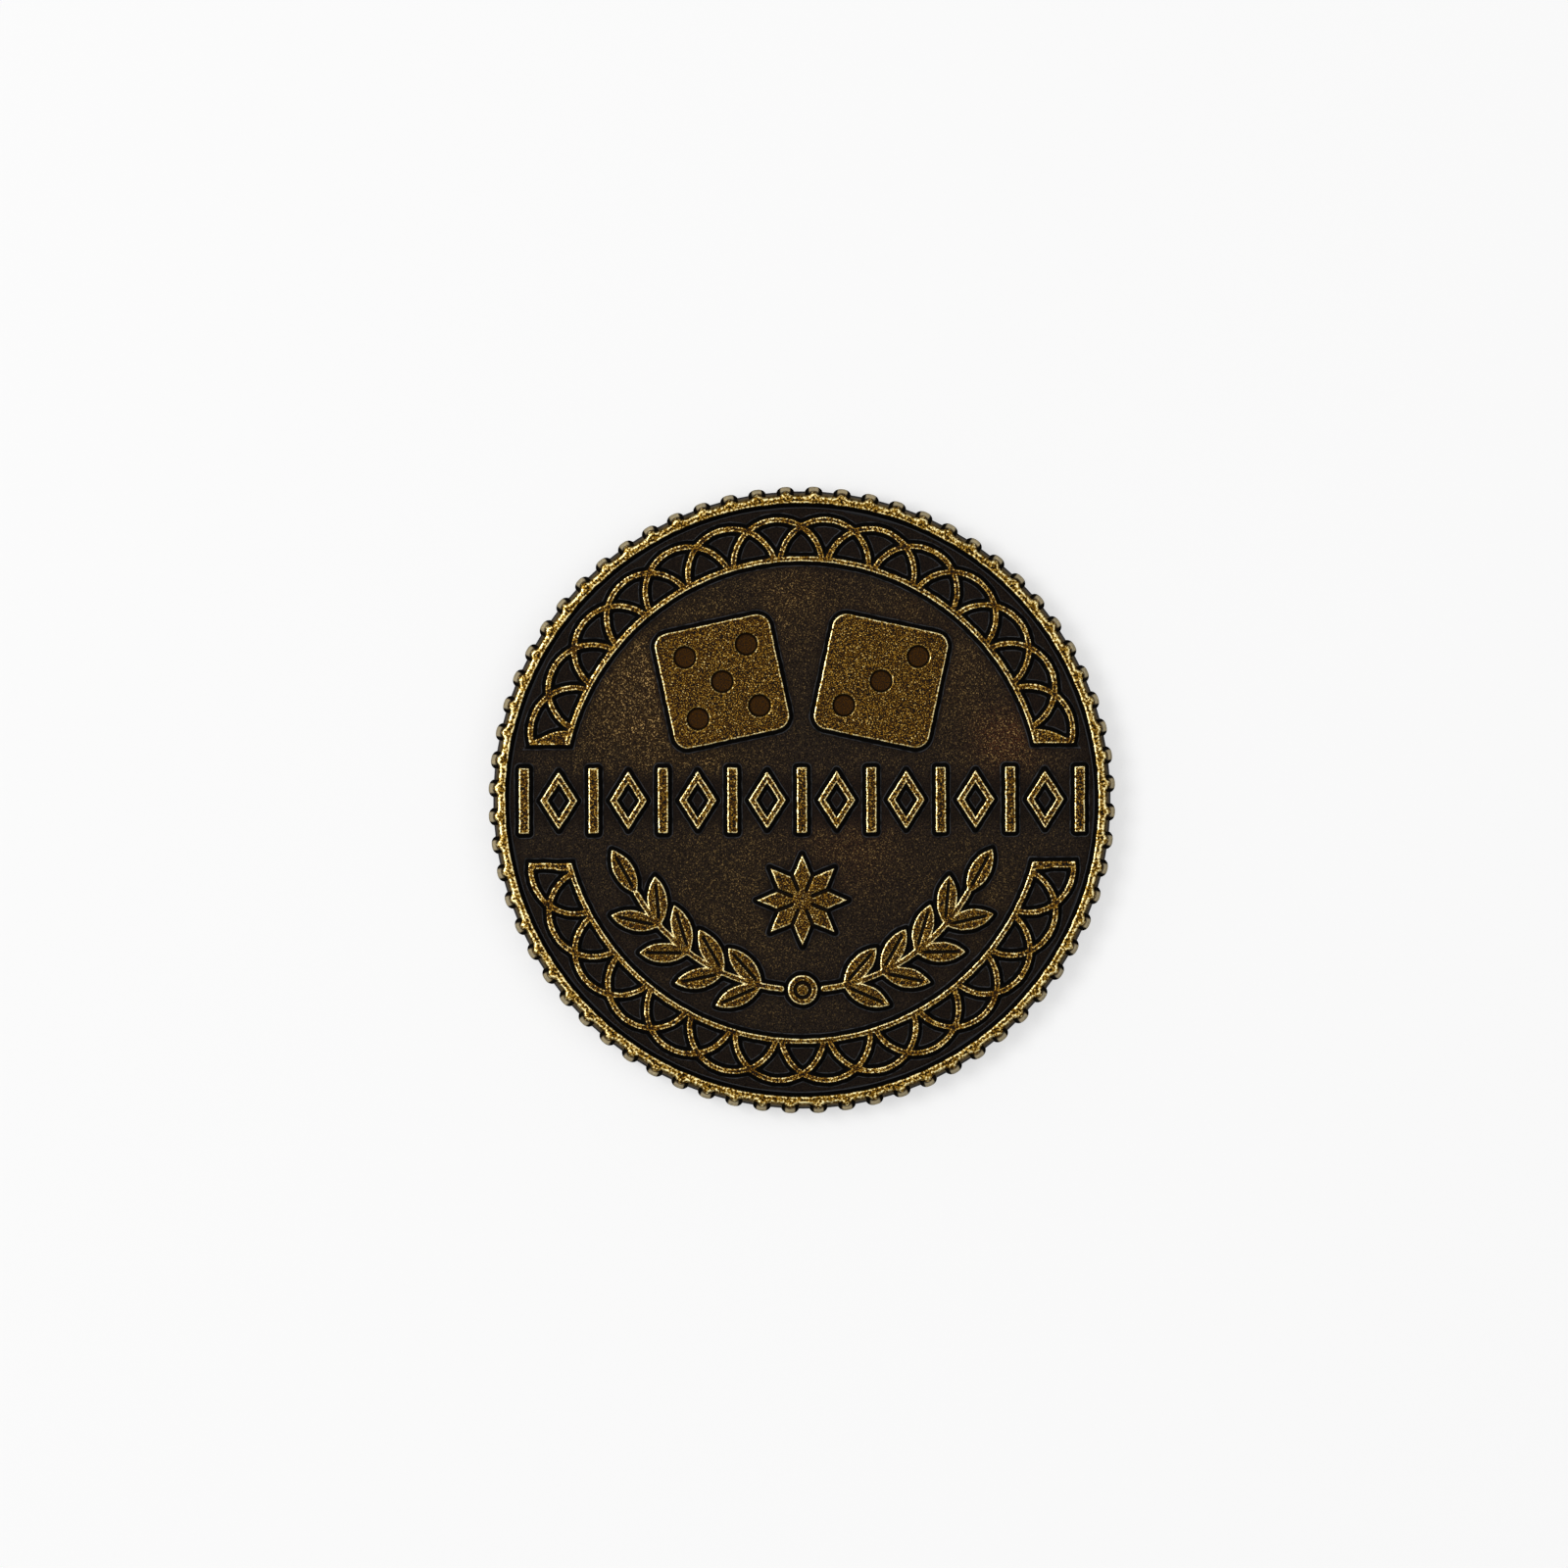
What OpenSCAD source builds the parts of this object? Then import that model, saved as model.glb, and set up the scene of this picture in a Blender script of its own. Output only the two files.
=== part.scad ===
// Round cast metal game token. A reeded blank has a raised rim on each face, and a relief stands on
// the sunk field inside each rim: two runs of interlaced border, a frieze band across the middle,
// and emblems in the fields above and below the band. Every relief wall is drafted, so that the
// casting leaves its mould: a shape is widest at its foot, on the field.
// The origin is the middle of the back rim's plane. +Z points out of the front face, +Y is up on it.

/* [Blank] */
// Diameter over the reeds
token_d = 40; // [36:0.5:46]
// Thickness over both rims
token_t = 3; // [2.4:0.1:5]
// Width of a rim's flat top
rim_w = 0.5; // [0.3:0.05:0.9]
// Depth of a field below its rim
field_depth = 0.5; // [0.35:0.05:0.8]
// How far the edge swells from a rim to the middle of the thickness
edge_swell = 0.24; // [0.1:0.02:0.4]

/* [Reeds] */
// Number of reeds round the edge
reed_count = 68; // [50:1:84]
// Height of a reed above the edge
reed_h = 0.36; // [0.2:0.02:0.5]
// Width of a reed
reed_w = 1.1; // [0.7:0.05:1.2]
// Radius of a reed's two outer corners
reed_corner = 0.28; // [0.1:0.02:0.32]
// Angle from +X to the first reed
reed_turn = 2.9; // [0:0.1:6]

/* [Relief] */
// How far the top of the relief lies below the rim
relief_drop = 0.05; // [0.02:0.01:0.15]
// Spread of a drafted wall, from its top edge to its foot
draft = 0.26; // [0.1:0.02:0.3]

/* [Border] */
// Number of circles in a whole round of the interlaced arcs
circle_count = 32; // [28:4:36]
// Gap between a rim and the arcs, at their tops
border_gap = 0.78; // [0.6:0.02:1.2]
// Width of the border, from its inner ring to the arcs
border_w = 2.92; // [2.5:0.02:3.3]
// How far the circles' centres lie inside the middle of the ring
circle_inset = 0.3; // [0.1:0.05:0.5]
// Width of the ring, the arcs and the end bars at their tops
border_line = 0.4; // [0.3:0.02:0.5]
// Gap between the band and the end of an upper border, at their tops
upper_gap = 1.45; // [1:0.05:2]
// Gap between the band and the end of a lower border, at their tops
lower_gap = 1.85; // [1:0.05:2.4]

/* [Band] */
// Height of the band at its top
band_h = 4.2; // [3.4:0.1:5]
// Number of lozenges in the band
lozenge_count = 8; // [6:1:9]
// Width of an upright bar at its top
bar_w = 0.66; // [0.4:0.02:0.8]
// Width of a lozenge's strokes at their tops
lozenge_line = 0.42; // [0.3:0.02:0.5]
// Gap between a lozenge and the bars beside it, at their feet
lozenge_gap = 0.12; // [0.08:0.02:0.3]
// Gap between the end bars and the rim, at their feet
band_end_gap = 0.2; // [0.1:0.05:0.6]

/* [Emblems] */
// Gap round the emblems, at their feet
emblem_gap = 0.45; // [0.3:0.05:0.8]
// Gap between the two dice, at their feet
dice_gap = 0.6; // [0.4:0.1:1.5]
// Tilt of each die
die_tilt = 12; // [0:1:25]
// Radius of a die's corners at its top
die_corner = 0.9; // [0.4:0.1:1.4]
// Diameter of a pip at the die's face
pip_d = 1.5; // [0.9:0.1:1.7]
// Depth of a pip
pip_depth = 0.25; // [0.15:0.05:0.28]
// Distance from a die's side to the middle of its outer pips
pip_inset = 1.75; // [1.3:0.05:1.9]
// Number of points on a star
star_points = 8; // [5:1:10]
// Angle at the tip of a star's point
star_tip = 46; // [40:1:60]
// Number of leaf pairs on a sprig
leaf_pairs = 4; // [3:1:5]
// Length of a leaf at its top
leaf_l = 3.2; // [2.6:0.1:3.6]
// Width of a leaf at its top
leaf_w = 1.3; // [0.9:0.05:1.5]
// Angle between a leaf and its stem
leaf_turn = 36; // [25:1:45]
// Width of a sprig's stem at its top
stem_w = 0.4; // [0.3:0.02:0.6]
// Diameter of a knot at its top
knot_d = 1.9; // [1.2:0.1:2.4]
// Gap between a knot and the stems beside it, at their feet
knot_gap = 0.15; // [0.1:0.05:0.4]

/* [Hidden] */
$fn = 96;
hull_fn = 32;
corner_steps = 4;
// How far a cutting shape runs past what it cuts
over = 0.5;
// How far a reed's plan runs past the swelling edge that trims its top
reed_trim = 0.05;

dark_bronze = [0.19, 0.16, 0.12];
worn_bronze = [0.5, 0.4, 0.2];

// Radii of the blank, from the reeds' tops at mid thickness inwards
reed_r = token_d / 2;
edge_r = reed_r - reed_h;
rim_out_r = edge_r - edge_swell;
rim_in_r = rim_out_r - rim_w;
field_r = rim_in_r - draft;

relief_h = field_depth - relief_drop;
wall_slope = draft / relief_h;

// Border: middle lines of the ring and of the arcs' circles
border_out_r = rim_in_r - border_gap;
ring_r = border_out_r - border_w + border_line / 2;
circle_path_r = ring_r - circle_inset;
circle_r = border_out_r - border_line / 2 - circle_path_r;
// Half the sweep of an arc, from its outermost point to the middle of the ring
arc_sweep = acos((ring_r ^ 2 - circle_path_r ^ 2 - circle_r ^ 2) / (2 * circle_path_r * circle_r));
upper_end = band_h / 2 + upper_gap;
lower_end = band_h / 2 + lower_gap;

// Band: the feet of the bars stay inside the rim's foot at the band's corners
band_foot = band_h / 2 + draft;
end_bar_x = sqrt(field_r ^ 2 - band_foot ^ 2) - band_end_gap - draft - bar_w / 2;
lozenge_pitch = 2 * end_bar_x / lozenge_count;
lozenge_foot_w = lozenge_pitch - bar_w - 2 * draft - 2 * lozenge_gap;

// Free field for the emblems, bounded by the band's feet and the ring's foot
free_low = band_foot + emblem_gap;
free_r = ring_r - border_line / 2 - draft - emblem_gap;

// Die: as large as fits beside the token's middle line, above the band and inside the free circle.
// For a foot one unit wide, die_half is half its extent, and die_corner_to its outer corner.
die_half = (cos(die_tilt) + sin(die_tilt)) / 2;
die_corner_to = [die_half, die_half] + [cos(45 - die_tilt), sin(45 - die_tilt)] / sqrt(2);
die_from = [dice_gap / 2, free_low];
fit_mid = die_from * die_corner_to / (die_corner_to * die_corner_to);
fit_rest = (die_from * die_from - free_r ^ 2) / (die_corner_to * die_corner_to);
die_foot_w = sqrt(fit_mid ^ 2 - fit_rest) - fit_mid;
die_w = die_foot_w - 2 * draft;
die_at = die_from + die_foot_w * [die_half, die_half];
pip_pitch = die_w / 2 - pip_inset;

// Sprig: a stem on a circle about the token's middle, as far out as its leaves allow
leaf_arc_r = (leaf_l ^ 2 + leaf_w ^ 2) / (4 * leaf_w);
leaf_foot_l = leaf_l / 2 + draft / sin(2 * atan(leaf_w / leaf_l));
leaf_reach = leaf_l / 2 + leaf_foot_l;
leaf_out = leaf_reach * sin(leaf_turn);
leaf_along = leaf_reach * cos(leaf_turn);
stem_r = sqrt(free_r ^ 2 - leaf_along ^ 2) - leaf_out;
stem_start = asin((knot_d / 2 + draft + knot_gap) / stem_r);
stem_end = acos(free_low / norm([stem_r, leaf_reach])) - atan(leaf_reach / stem_r);
leaf_step = (stem_end - stem_start) / (leaf_pairs + 0.5);

// Star: it fills the lower free field down to the circle that the inner leaves reach
leaf_in_r = norm([stem_r - leaf_out, leaf_along]);
star_foot_r = (leaf_in_r - emblem_gap - free_low) / 2;
star_y = -free_low - star_foot_r;

// Places a relief, drawn on the plane z = 0, on a face's field
module on_front() {
    translate([0, 0, token_t - field_depth]) children();
}

module on_back() {
    translate([0, 0, field_depth]) rotate([0, 180, 0]) children();
}

// Section of a drafted line: x across the line, y up from the field
module line_section(middle, width) {
    polygon([
        [middle - width / 2 - draft, 0],
        [middle + width / 2 + draft, 0],
        [middle + width / 2, relief_h],
        [middle - width / 2, relief_h]
    ]);
}

// Drafted line along an arc about the origin
module arc_line(radius, width, from, to) {
    rotate([0, 0, from]) rotate_extrude(angle = to - from) line_section(radius, width);
}

// Drafted straight line along +X, its middle at height y
module straight_line(from, to, y, width) {
    translate([from, 0, 0]) rotate([90, 0, 90]) linear_extrude(to - from) line_section(y, width);
}

// Drafted block on a foot outline whose sides all lie at one distance from the origin
module drafted_block(side_distance) {
    linear_extrude(relief_h, scale = (side_distance - draft) / side_distance) children();
}

// Outline of a lozenge about the origin
module lozenge_outline(half_w, half_h) {
    polygon([[half_w, 0], [0, half_h], [-half_w, 0], [0, -half_h]]);
}

// Ring that swells from a radius at both rims to the middle of the thickness
module swelling_section(rim_radius) {
    polygon([
        [0, 0],
        [rim_radius, 0],
        [rim_radius + edge_swell, token_t / 2],
        [rim_radius, token_t],
        [0, token_t]
    ]);
}

// Space outside the edge between the reeds, with the reeds still filled
module edge_space_section() {
    slope = edge_swell / (token_t / 2);
    polygon([
        [rim_out_r - over * slope, -over],
        [edge_r, token_t / 2],
        [rim_out_r - over * slope, token_t + over],
        [reed_r + over, token_t + over],
        [reed_r + over, -over]
    ]);
}

// Plan of one reed along +X, from inside the rim to just past the reed's top
module reed_outline() {
    half = reed_w / 2;
    top = reed_r + reed_trim;
    corner = [for (i = [0 : corner_steps]) 90 * i / corner_steps];
    polygon(concat(
        [[rim_in_r, -half]],
        [for (a = corner) [top - reed_corner * (1 - sin(a)), -half + reed_corner * (1 - cos(a))]],
        [for (a = corner) [top - reed_corner * (1 - cos(a)), half - reed_corner * (1 - sin(a))]],
        [[rim_in_r, half]]
    ));
}

module reed_plans() {
    for (i = [0 : reed_count - 1])
        rotate([0, 0, reed_turn + 360 * i / reed_count])
            translate([0, 0, -2 * over]) linear_extrude(token_t + 4 * over) reed_outline();
}

// Dish that sinks one field below its rim, drawn up from the field
module field_dish() {
    rise = field_depth + over;
    cylinder(h = rise, r1 = field_r, r2 = field_r + draft * rise / field_depth);
}

module blank() {
    color(dark_bronze) difference() {
        rotate_extrude() swelling_section(reed_r - edge_swell);
        difference() {
            rotate_extrude() edge_space_section();
            reed_plans();
        }
        on_front() field_dish();
        on_back() field_dish();
    }
}

// Everything above an end line that leans outwards to its foot
module end_wedge(end_y) {
    lean = over * wall_slope;
    rotate([90, 0, 90]) translate([0, 0, -reed_r]) linear_extrude(2 * reed_r) polygon([
        [end_y - draft - lean, -over],
        [reed_r, -over],
        [reed_r, relief_h + over],
        [end_y + lean, relief_h + over]
    ]);
}

// One run of the border in the upper half, closed by a bar at each end
module border(end_y) {
    step = 360 / circle_count;
    bar_y = end_y + border_line / 2 - draft / 2;
    bar_line = border_line + draft;
    end_circle = circle_path_r * [cos(1.5 * step), sin(1.5 * step)];
    bar_from = sqrt(ring_r ^ 2 - end_y ^ 2);
    bar_to = end_circle.x + sqrt(circle_r ^ 2 - (end_circle.y - end_y) ^ 2);
    intersection() {
        union() {
            arc_line(ring_r, border_line, 0, 180);
            for (i = [0 : circle_count / 2 - 1])
                rotate([0, 0, (i + 0.5) * step]) translate([circle_path_r, 0, 0])
                    arc_line(circle_r, border_line, -arc_sweep, arc_sweep);
            straight_line(bar_from, bar_to, bar_y, bar_line);
            straight_line(-bar_to, -bar_from, bar_y, bar_line);
        }
        end_wedge(end_y);
    }
}

module upper_border() {
    border(upper_end);
}

module lower_border() {
    rotate([0, 0, 180]) border(lower_end);
}

// Upright lines, cut to the band's own section
module band_bars() {
    intersection() {
        straight_line(-reed_r, reed_r, 0, band_h);
        for (i = [0 : lozenge_count])
            rotate([0, 0, 90]) straight_line(-band_h, band_h, end_bar_x - i * lozenge_pitch, bar_w);
    }
}

// Open lozenge: both its outer walls and the walls of its hole are drafted
module lozenge() {
    half_w = lozenge_foot_w / 2;
    side = half_w * band_foot / norm([half_w, band_foot]);
    hole = (side - draft - lozenge_line - draft) / side;
    hole_mouth = hole + (draft + over * wall_slope) / side;
    difference() {
        drafted_block(side) lozenge_outline(half_w, band_foot);
        linear_extrude(relief_h + over, scale = hole_mouth / hole)
            lozenge_outline(hole * half_w, hole * band_foot);
    }
}

module band_lozenges() {
    for (i = [0 : lozenge_count - 1])
        translate([-end_bar_x + (i + 0.5) * lozenge_pitch, 0, 0]) lozenge();
}

// Die seen square on, with its pips sunk into the face
module die(pips) {
    corner_at = die_w / 2 - die_corner;
    floor_r = pip_d / 2 - pip_depth * wall_slope;
    mouth_r = pip_d / 2 + over * wall_slope;
    difference() {
        hull()
            for (x = [-corner_at, corner_at], y = [-corner_at, corner_at])
                translate([x, y, 0])
                    cylinder(h = relief_h, r1 = die_corner + draft, r2 = die_corner, $fn = hull_fn);
        for (pip = pips)
            translate([pip.x * pip_pitch, pip.y * pip_pitch, relief_h - pip_depth])
                cylinder(h = pip_depth + over, r1 = floor_r, r2 = mouth_r);
    }
}

module star() {
    tip_half = star_tip / 2;
    notch_r = star_foot_r * sin(tip_half) / sin(tip_half + 180 / star_points);
    drafted_block(star_foot_r * sin(tip_half))
        polygon([for (i = [0 : 2 * star_points - 1])
            let (a = 90 + 180 * i / star_points, r = i % 2 == 0 ? star_foot_r : notch_r)
                r * [cos(a), sin(a)]]);
}

// Leaf from the origin along +X: where two drafted discs cross
module leaf() {
    aside = leaf_arc_r - leaf_w / 2;
    translate([leaf_l / 2, 0, 0]) intersection() {
        translate([0, aside, 0]) cylinder(h = relief_h, r1 = leaf_arc_r + draft, r2 = leaf_arc_r);
        translate([0, -aside, 0]) cylinder(h = relief_h, r1 = leaf_arc_r + draft, r2 = leaf_arc_r);
    }
}

// Leaf on the right-hand stem, at an angle round from the bottom of the token
module leaf_on_stem(at, turn) {
    rotate([0, 0, at]) translate([0, -stem_r, 0]) rotate([0, 0, turn]) leaf();
}

// Right-hand sprig of the lower field
module right_sprig() {
    arc_line(stem_r, stem_w, stem_start - 90, stem_end - 90);
    leaf_on_stem(stem_end, 0);
    for (i = [0 : leaf_pairs - 1], side = [-1, 1])
        leaf_on_stem(stem_start + (i + 0.5) * leaf_step, side * leaf_turn);
}

module left_sprig() {
    mirror([1, 0, 0]) right_sprig();
}

module knot() {
    translate([0, -stem_r, 0]) cylinder(h = relief_h, r1 = knot_d / 2 + draft, r2 = knot_d / 2);
}

module lower_star() {
    translate([0, star_y, 0]) star();
}

// The upper field of the back holds the lower field's emblem, turned round
module turned() {
    rotate([0, 0, 180]) children();
}

module front_upper_border() {
    color(worn_bronze) on_front() upper_border();
}

module front_lower_border() {
    color(worn_bronze) on_front() lower_border();
}

module front_band_bars() {
    color(worn_bronze) on_front() band_bars();
}

module front_band_lozenges() {
    color(worn_bronze) on_front() band_lozenges();
}

module front_left_die() {
    five = [[-1, -1], [-1, 1], [0, 0], [1, -1], [1, 1]];
    color(worn_bronze) on_front() translate([-die_at.x, die_at.y, 0]) rotate([0, 0, die_tilt]) die(five);
}

module front_right_die() {
    three = [[-1, -1], [0, 0], [1, 1]];
    color(worn_bronze) on_front() translate([die_at.x, die_at.y, 0]) rotate([0, 0, -die_tilt]) die(three);
}

module front_star() {
    color(worn_bronze) on_front() lower_star();
}

module front_left_sprig() {
    color(worn_bronze) on_front() left_sprig();
}

module front_right_sprig() {
    color(worn_bronze) on_front() right_sprig();
}

module front_knot() {
    color(worn_bronze) on_front() knot();
}

module back_upper_border() {
    color(worn_bronze) on_back() upper_border();
}

module back_lower_border() {
    color(worn_bronze) on_back() lower_border();
}

module back_band_bars() {
    color(worn_bronze) on_back() band_bars();
}

module back_band_lozenges() {
    color(worn_bronze) on_back() band_lozenges();
}

module back_upper_star() {
    color(worn_bronze) on_back() turned() lower_star();
}

module back_upper_left_sprig() {
    color(worn_bronze) on_back() turned() right_sprig();
}

module back_upper_right_sprig() {
    color(worn_bronze) on_back() turned() left_sprig();
}

module back_upper_knot() {
    color(worn_bronze) on_back() turned() knot();
}

module back_lower_star() {
    color(worn_bronze) on_back() lower_star();
}

module back_lower_left_sprig() {
    color(worn_bronze) on_back() left_sprig();
}

module back_lower_right_sprig() {
    color(worn_bronze) on_back() right_sprig();
}

module back_lower_knot() {
    color(worn_bronze) on_back() knot();
}

blank();
front_upper_border();
front_lower_border();
front_band_bars();
front_band_lozenges();
front_left_die();
front_right_die();
front_star();
front_left_sprig();
front_right_sprig();
front_knot();
back_upper_border();
back_lower_border();
back_band_bars();
back_band_lozenges();
back_upper_star();
back_upper_left_sprig();
back_upper_right_sprig();
back_upper_knot();
back_lower_star();
back_lower_left_sprig();
back_lower_right_sprig();
back_lower_knot();
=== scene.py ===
"""Looks of a round cast game token in antique bronze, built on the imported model's frame.

Every relief is a height field over one face: a distance to the relief's outline gives a flat top with
rubbed edges, a drafted wall and a filleted foot on the field. Lengths are in millimetres, apart from those
of the floor and the lamps, and become metres where a mesh is written.
"""

import math
from collections import namedtuple

import bpy
import numpy as np
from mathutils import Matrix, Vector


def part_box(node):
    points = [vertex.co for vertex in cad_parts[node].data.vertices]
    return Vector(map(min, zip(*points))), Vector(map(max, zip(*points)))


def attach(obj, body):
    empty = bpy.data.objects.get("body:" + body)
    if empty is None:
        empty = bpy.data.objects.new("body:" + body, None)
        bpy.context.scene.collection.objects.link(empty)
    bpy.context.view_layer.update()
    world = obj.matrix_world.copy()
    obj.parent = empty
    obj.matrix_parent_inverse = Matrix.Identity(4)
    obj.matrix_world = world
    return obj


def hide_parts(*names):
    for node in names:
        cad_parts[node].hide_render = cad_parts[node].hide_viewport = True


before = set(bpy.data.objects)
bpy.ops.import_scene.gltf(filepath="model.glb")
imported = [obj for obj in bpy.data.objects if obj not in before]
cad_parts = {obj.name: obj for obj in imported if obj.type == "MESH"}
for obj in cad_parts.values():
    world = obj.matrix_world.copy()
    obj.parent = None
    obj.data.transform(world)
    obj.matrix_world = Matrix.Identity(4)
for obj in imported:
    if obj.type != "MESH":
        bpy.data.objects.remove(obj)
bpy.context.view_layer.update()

MM = 0.001

# Driving sizes of the token, as its solids have them
blank_low, blank_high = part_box("blank")
TOKEN_T = (blank_high.z - blank_low.z) / MM
REED_R = 20.0
REED_COUNT = 68
REED_H = 0.36
REED_TURN = math.radians(2.9)
EDGE_SWELL = 0.24
RIM_W = 0.5
FIELD_DEPTH = 0.5
RELIEF_DROP = 0.05
DRAFT = 0.26
CIRCLE_COUNT = 32
BORDER_GAP = 0.78
BORDER_W = 2.92
CIRCLE_INSET = 0.3
BORDER_LINE = 0.4
UPPER_GAP = 1.45
LOWER_GAP = 1.85
BAND_H = 4.2
LOZENGE_COUNT = 8
BAR_W = 0.66
LOZENGE_LINE = 0.42
LOZENGE_GAP = 0.12
BAND_END_GAP = 0.2
EMBLEM_GAP = 0.45
DICE_GAP = 0.6
DIE_TILT = math.radians(12)
DIE_CORNER = 0.9
PIP_D = 1.5
PIP_DEPTH = 0.25
PIP_INSET = 1.75
STAR_POINTS = 8
STAR_TIP = math.radians(46)
LEAF_PAIRS = 4
LEAF_L = 3.2
LEAF_W = 1.3
LEAF_TURN = math.radians(36)
STEM_W = 0.4
KNOT_D = 1.9
KNOT_GAP = 0.15

# Radii of the blank and height of the relief
EDGE_R = REED_R - REED_H
RIM_OUT_R = EDGE_R - EDGE_SWELL
RIM_IN_R = RIM_OUT_R - RIM_W
FIELD_R = RIM_IN_R - DRAFT
RELIEF_H = FIELD_DEPTH - RELIEF_DROP

# Border
BORDER_OUT_R = RIM_IN_R - BORDER_GAP
RING_R = BORDER_OUT_R - BORDER_W + BORDER_LINE / 2
CIRCLE_STEP = 2 * math.pi / CIRCLE_COUNT
CIRCLE_PATH_R = RING_R - CIRCLE_INSET
CIRCLE_R = BORDER_OUT_R - BORDER_LINE / 2 - CIRCLE_PATH_R
UPPER_END = BAND_H / 2 + UPPER_GAP
LOWER_END = BAND_H / 2 + LOWER_GAP

# Band
BAND_FOOT = BAND_H / 2 + DRAFT
END_BAR_X = math.sqrt(FIELD_R**2 - BAND_FOOT**2) - BAND_END_GAP - DRAFT - BAR_W / 2
LOZENGE_PITCH = 2 * END_BAR_X / LOZENGE_COUNT
LOZENGE_FOOT_HALF = (LOZENGE_PITCH - BAR_W) / 2 - DRAFT - LOZENGE_GAP
LOZENGE_SIDE = LOZENGE_FOOT_HALF * BAND_FOOT / math.hypot(LOZENGE_FOOT_HALF, BAND_FOOT)
LOZENGE_TOP = (LOZENGE_SIDE - DRAFT) / LOZENGE_SIDE

# Free field for the emblems
FREE_LOW = BAND_FOOT + EMBLEM_GAP
FREE_R = RING_R - BORDER_LINE / 2 - DRAFT - EMBLEM_GAP

# Dice: as large as fits above the band and inside the free circle
DIE_HALF = (math.cos(DIE_TILT) + math.sin(DIE_TILT)) / 2
DIE_DIAGONAL = math.radians(45) - DIE_TILT
DIE_CORNER_X = DIE_HALF + math.cos(DIE_DIAGONAL) / math.sqrt(2)
DIE_CORNER_Y = DIE_HALF + math.sin(DIE_DIAGONAL) / math.sqrt(2)
FIT_SQUARE = DIE_CORNER_X**2 + DIE_CORNER_Y**2
FIT_MID = (DICE_GAP / 2 * DIE_CORNER_X + FREE_LOW * DIE_CORNER_Y) / FIT_SQUARE
FIT_REST = ((DICE_GAP / 2) ** 2 + FREE_LOW**2 - FREE_R**2) / FIT_SQUARE
DIE_FOOT_W = math.sqrt(FIT_MID**2 - FIT_REST) - FIT_MID
DIE_W = DIE_FOOT_W - 2 * DRAFT
DIE_X = DICE_GAP / 2 + DIE_FOOT_W * DIE_HALF
DIE_Y = FREE_LOW + DIE_FOOT_W * DIE_HALF
PIP_PITCH = DIE_W / 2 - PIP_INSET
FIVE = [(-1, -1), (-1, 1), (0, 0), (1, -1), (1, 1)]
THREE = [(-1, -1), (0, 0), (1, 1)]

# Sprigs
LEAF_ARC_R = (LEAF_L**2 + LEAF_W**2) / (4 * LEAF_W)
LEAF_ASIDE = LEAF_ARC_R - LEAF_W / 2
LEAF_REACH = LEAF_L + DRAFT / math.sin(2 * math.atan(LEAF_W / LEAF_L))
LEAF_OUT = LEAF_REACH * math.sin(LEAF_TURN)
LEAF_ALONG = LEAF_REACH * math.cos(LEAF_TURN)
STEM_R = math.sqrt(FREE_R**2 - LEAF_ALONG**2) - LEAF_OUT
STEM_START = math.asin((KNOT_D / 2 + DRAFT + KNOT_GAP) / STEM_R)
STEM_END = math.acos(FREE_LOW / math.hypot(STEM_R, LEAF_REACH)) - math.atan(LEAF_REACH / STEM_R)
LEAF_STEP = (STEM_END - STEM_START) / (LEAF_PAIRS + 0.5)

# Star
STAR_HALF_SECTOR = math.pi / STAR_POINTS
LEAF_IN_R = math.hypot(STEM_R - LEAF_OUT, LEAF_ALONG)
STAR_FOOT_R = (LEAF_IN_R - EMBLEM_GAP - FREE_LOW) / 2
STAR_Y = -FREE_LOW - STAR_FOOT_R
STAR_R = STAR_FOOT_R - DRAFT / math.sin(STAR_TIP / 2)
STAR_NOTCH_R = STAR_R * math.sin(STAR_TIP / 2) / math.sin(STAR_TIP / 2 + STAR_HALF_SECTOR)

# Wear of the casting: how round its edges and feet are, and how uneven its lines and tops
TOP_ROUND = 0.1
FOOT_ROUND = 0.1
FOOT_D = DRAFT * (1 + FOOT_ROUND / RELIEF_H)
CROSSING_FILLET = 0.07
LINE_WOBBLE = 0.018
LINE_WOBBLE_CELL = 0.35
LINE_WEAR = 0.07
RING_LINE = BORDER_LINE - LINE_WEAR
RING_MID_R = RING_R - (BORDER_LINE - RING_LINE) / 2
ARC_LINE = BORDER_LINE - LINE_WEAR
ARC_DROP = 0.035
MEETING_DROP = 0.011
MEETING_REACH = 0.35
UPPER_BAR_IN = 2 * BORDER_LINE
UPPER_BAR_OUT = 0.8 * BORDER_LINE
BAR_CORNER = 0.06
TOP_UNEVEN = 0.008
TOP_UNEVEN_CELL = 0.5

# Fine carving: veins of the leaves, and grooves of the star and the knot
VEIN_HALF_W = 0.13
VEIN_DEPTH = 0.17
VEIN_END_GAP = 0.35
VEIN_FADE = 0.3
GROOVE_DEPTH = 0.2
STAR_GROOVE_HALF_W = 0.15
STAR_HUB_R = 0.55
STAR_HUB_FADE = 0.2
KNOT_GROOVE_HALF_W = 0.14

# Section of the reeded edge: a flat rim with lugs under the reeds, and reeds with round shoulders
VALLEY_FILL = 0.05
VALLEY_R = EDGE_R + VALLEY_FILL
RIM_EDGE_W = 0.1
RIM_FLAT_INSET = 0.15
RIM_FLAT_R = RIM_OUT_R - RIM_FLAT_INSET
RIM_ROUND = 0.2
LUG_OUT = 0.23
LUG_POWER = 5.5
REED_HALF_W = 0.56
REED_SQUARENESS = 2.6
REED_POWER = 0.7
SHOULDER_DROP = 0.75
REED_OFFSETS = [0.0, 0.12, 0.2, 0.26, 0.32, 0.37, 0.42, 0.47, 0.52, 0.57, 0.64, 0.78]
WALL_ROWS = 11
FLAT_ROWS = 4
ROUND_ANGLES = np.radians(np.linspace(20, 90, 5))
SHOULDER_ANGLES = np.radians(np.linspace(15, 90, 7))

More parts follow.
